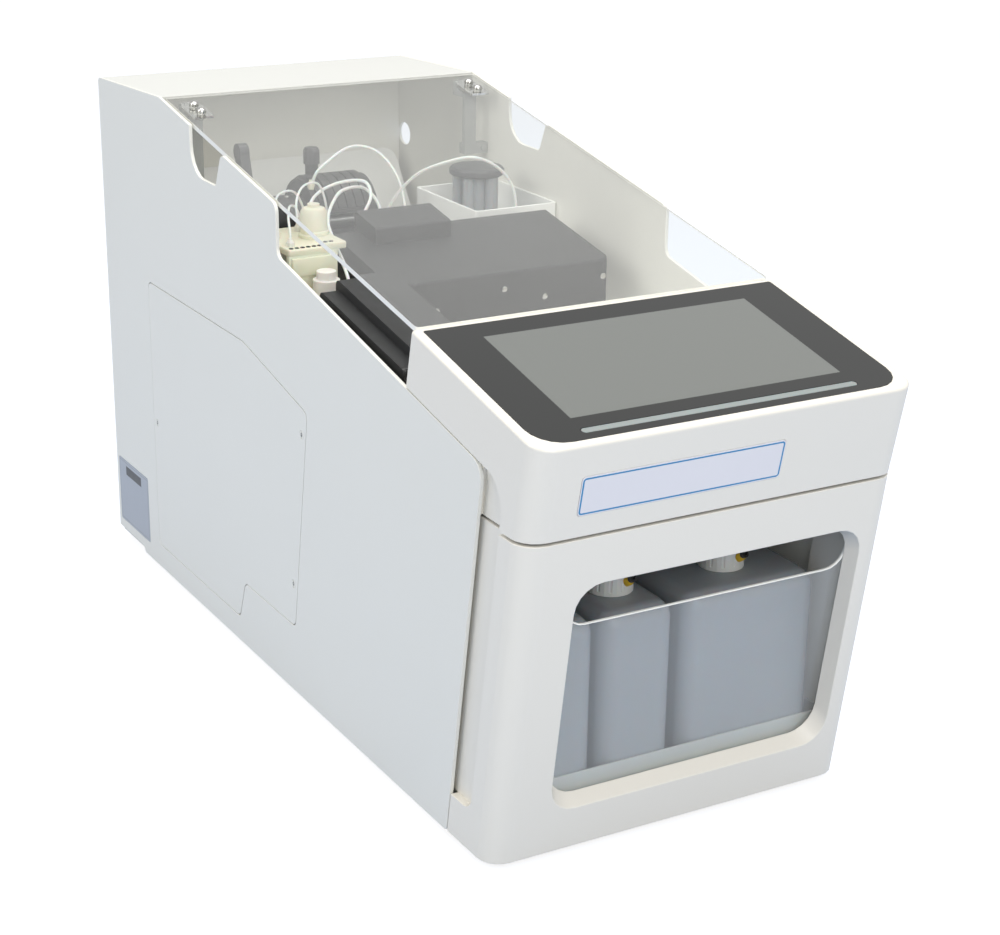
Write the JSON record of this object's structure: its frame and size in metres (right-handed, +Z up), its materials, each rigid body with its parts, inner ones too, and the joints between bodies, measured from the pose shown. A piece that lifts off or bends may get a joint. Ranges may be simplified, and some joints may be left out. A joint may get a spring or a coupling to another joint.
{
  "type": "continuous flow analyzer",
  "caption": "Bench-top wet chemistry analyzer with a clear sloping lid, a tilted display head and a pull-out reagent drawer with a window.",
  "frame": {"origin": "centre of the bounding box's base, on the surface the feet stand on", "axes": "+Z up, -Y to the front with the display and drawer, +X to the right seen from the front"},
  "size_m": [0.318, 0.8178, 0.468],
  "materials": {
    "panel_white": "satin powder coat",
    "moulding_white": "satin",
    "steel": "brushed",
    "zinc": "zinc plated",
    "black_coat": "satin black",
    "black_plastic": "satin",
    "glass_black": "gloss",
    "screen": "satin",
    "light_bar": "satin",
    "badge": "satin",
    "label": "matte",
    "clear_acrylic": "clear",
    "translucent_tray": "satin",
    "can_plastic": "translucent satin",
    "cream": "satin",
    "tubing": "satin",
    "dark_grey": "satin",
    "rubber": "matte",
    "cap_white": "satin",
    "bracket": "satin"
  },
  "bodies": {
    "chassis": {"badge_plate": "badge", "base_pan": "zinc", "display_glass": "glass_black", "display_module": "screen", "fan_frame": "black_plastic", "foot_front_left": "rubber", "foot_front_right": "rubber", "foot_rear_left": "rubber", "foot_rear_right": "rubber", "head_moulding": "moulding_white", "heating_bath": "black_coat", "hinge_bracket_left": "bracket", "hinge_bracket_right": "bracket", "instrument_deck": "panel_white", "left_side_panel": "panel_white", "mixing_coil": "tubing", "mixing_coil_bobbin": "cream", "optics_cover": "black_coat", "power_inlet": "black_plastic", "pump_base": "black_coat", "pump_platen": "black_coat", "rating_plate": "label", "rear_panel": "panel_white", "rear_top_strip": "panel_white", "right_side_panel": "panel_white", "sample_tray": "panel_white", "sampling_valve": "can_plastic", "slide_channel_left": "zinc", "slide_channel_right": "zinc", "solenoid_valve_1": "cap_white", "solenoid_valve_2": "cap_white", "solenoid_valve_3": "cap_white", "status_light_bar": "light_bar", "switch_bezel": "black_plastic", "tube_manifold_link": "tubing", "tube_pump_feed": "tubing", "tube_sample_line": "tubing", "tube_valve_loop": "tubing", "valve_manifold": "cream"},
    "drawer": {"drawer_front": "moulding_white", "window_pane": "clear_acrylic", "drawer_tray": "translucent_tray", "drawer_rail_left": "steel", "drawer_rail_right": "steel"},
    "can_left": {"reagent_can_left": "can_plastic"},
    "can_middle": {"reagent_can_middle": "can_plastic"},
    "can_right": {"reagent_can_right": "can_plastic"},
    "cap_left": {"can_cap_left": "cap_white"},
    "cap_middle": {"can_cap_middle": "cap_white"},
    "cap_right": {"can_cap_right": "cap_white"},
    "lid": {"lid_panel": "clear_acrylic", "hinge_leaf_left": "steel", "hinge_leaf_right": "steel"},
    "roller_drum": {"pump_roller_drum": "steel"},
    "tension_knob": {"pump_tension_knob": "dark_grey"},
    "clamp_lever": {"pump_clamp_lever": "dark_grey"},
    "selector_disc": {"sampling_disc": "dark_grey"},
    "rocker": {"rocker_switch": "black_plastic"},
    "fan_wheel": {"fan_rotor": "black_plastic"},
    "access_cover": {"left_access_cover": "panel_white"}
  },
  "joints": [
    {"name": "drawer_slide", "type": "slide", "parent": "chassis", "child": "drawer", "axis": [0, -1, 0], "range_m": [0, 0.185]},
    {"name": "can_lift_left", "type": "slide", "parent": "drawer", "child": "can_left", "axis": [0, 0, 1], "range_m": [0, 0.06]},
    {"name": "can_lift_middle", "type": "slide", "parent": "drawer", "child": "can_middle", "axis": [0, 0, 1], "range_m": [0, 0.06]},
    {"name": "can_lift_right", "type": "slide", "parent": "drawer", "child": "can_right", "axis": [0, 0, 1], "range_m": [0, 0.06]},
    {"name": "cap_turn_left", "type": "hinge", "parent": "can_left", "child": "cap_left", "pos_m": [-0.1025, -0.29097, 0.183], "axis": [0, 0, 1], "continuous": true},
    {"name": "cap_turn_middle", "type": "hinge", "parent": "can_middle", "child": "cap_middle", "pos_m": [-0.023, -0.29097, 0.183], "axis": [0, 0, 1], "continuous": true},
    {"name": "cap_turn_right", "type": "hinge", "parent": "can_right", "child": "cap_right", "pos_m": [0.0785, -0.29097, 0.183], "axis": [0, 0, 1], "continuous": true},
    {"name": "lid_hinge", "type": "hinge", "parent": "chassis", "child": "lid", "pos_m": [0, 0.23553, 0.45706], "axis": [-1, 0, 0], "range_deg": [0, 95]},
    {"name": "pump_drum_spin", "type": "hinge", "parent": "chassis", "child": "roller_drum", "pos_m": [-0.01, 0.21353, 0.352], "axis": [1, 0, 0], "continuous": true},
    {"name": "tension_knob_turn", "type": "hinge", "parent": "chassis", "child": "tension_knob", "pos_m": [-0.018, 0.23753, 0.401], "axis": [0, 0, 1], "continuous": true},
    {"name": "clamp_lever_swing", "type": "hinge", "parent": "chassis", "child": "clamp_lever", "pos_m": [-0.096, 0.19553, 0.358], "axis": [1, 0, 0], "range_deg": [-10, 70]},
    {"name": "selector_turn", "type": "hinge", "parent": "chassis", "child": "selector_disc", "pos_m": [0.105, 0.14753, 0.395], "axis": [0, 0, 1], "continuous": true},
    {"name": "power_rocker", "type": "hinge", "parent": "chassis", "child": "rocker", "pos_m": [0.06, 0.40023, 0.066], "axis": [0, 0, 1], "range_deg": [-8, 0]},
    {"name": "fan_spin", "type": "hinge", "parent": "chassis", "child": "fan_wheel", "pos_m": [-0.08, 0.38753, 0.211], "axis": [0, 1, 0], "continuous": true},
    {"name": "access_cover_lift_off", "type": "slide", "parent": "chassis", "child": "access_cover", "axis": [-1, 0, 0], "range_m": [0, 0.06]}
  ]
}
